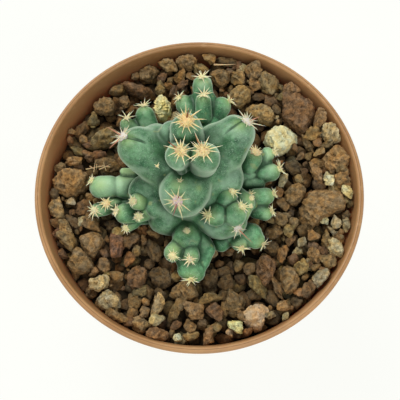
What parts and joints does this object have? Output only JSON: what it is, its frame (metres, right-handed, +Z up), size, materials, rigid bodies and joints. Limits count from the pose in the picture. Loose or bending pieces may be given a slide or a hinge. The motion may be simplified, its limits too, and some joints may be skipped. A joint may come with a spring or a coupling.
{
  "type": "potted coryphantha",
  "caption": "Clustering cactus with large rounded tubercles, spiny areoles and many offsets, in a round terracotta-coloured pot topped with coarse gravel.",
  "frame": {"origin": "centre of the pot's foot, on the surface that the pot stands on", "axes": "+Z up along the pot's axis, -Y towards the front of the plant, where the lowest offset hangs, +X to its right"},
  "size_m": [0.1, 0.1, 0.1121],
  "materials": {
    "pot": "matte terracotta-coloured moulded plastic, lightly scuffed",
    "potting_mix": "dark mineral potting mix with pumice grains",
    "gravel": "rough brown lava and pumice gravel with some cream and reddish grains",
    "pale_stone": "rough cream-coloured pumice",
    "brown_stone": "rough pitted brown lava stone",
    "stem_skin": "living cactus skin, blue-green with a pale waxy bloom and fine speckle",
    "offset_skin": "living cactus skin, fresher green, satin",
    "spines": "dry straw-coloured spines on woolly areoles, some brown or pink"
  },
  "bodies": {
    "root": {"gravel_bed": "gravel", "main_stem": "stem_skin", "offset_back": "offset_skin", "offset_back_left": "offset_skin", "offset_back_left_spines_1": "spines", "offset_back_left_spines_2": "spines", "offset_back_spines_1": "spines", "offset_back_spines_2": "spines", "offset_back_spines_3": "spines", "offset_back_spines_4": "spines", "offset_front": "offset_skin", "offset_front_right": "offset_skin", "offset_front_right_spines_1": "spines", "offset_front_right_spines_2": "spines", "offset_front_spines_1": "spines", "offset_front_spines_2": "spines", "offset_front_spines_3": "spines", "offset_left_finger": "offset_skin", "offset_left_finger_spines_1": "spines", "offset_left_front": "offset_skin", "offset_left_front_spines_1": "spines", "offset_left_front_spines_2": "spines", "offset_left_low": "offset_skin", "offset_left_low_spines_1": "spines", "offset_left_low_spines_2": "spines", "offset_on_front_shoulder": "offset_skin", "offset_on_front_shoulder_spines_1": "spines", "offset_on_front_shoulder_spines_2": "spines", "offset_on_front_shoulder_spines_3": "spines", "offset_on_left_flank": "offset_skin", "offset_on_left_flank_spines_1": "spines", "offset_on_left_flank_spines_2": "spines", "offset_right": "offset_skin", "offset_right_spines_1": "spines", "offset_right_spines_2": "spines", "offset_right_spines_3": "spines", "offset_upper_right": "offset_skin", "offset_upper_right_spines_1": "spines", "offset_upper_right_spines_2": "spines", "offset_upper_right_spines_3": "spines", "pot": "pot", "potting_mix": "potting_mix", "spines_back": "spines", "spines_crown_back": "spines", "spines_crown_left": "spines", "spines_crown_right": "spines", "spines_front": "spines", "spines_front_right": "spines", "spines_left": "spines", "spines_right": "spines", "stone_brown": "brown_stone", "stone_cream": "pale_stone", "stone_large": "brown_stone", "stone_left": "brown_stone", "stone_orange": "brown_stone", "stone_pale_yellow": "pale_stone", "stone_pink_cream": "pale_stone", "stone_red": "brown_stone"}
  },
  "joints": []
}
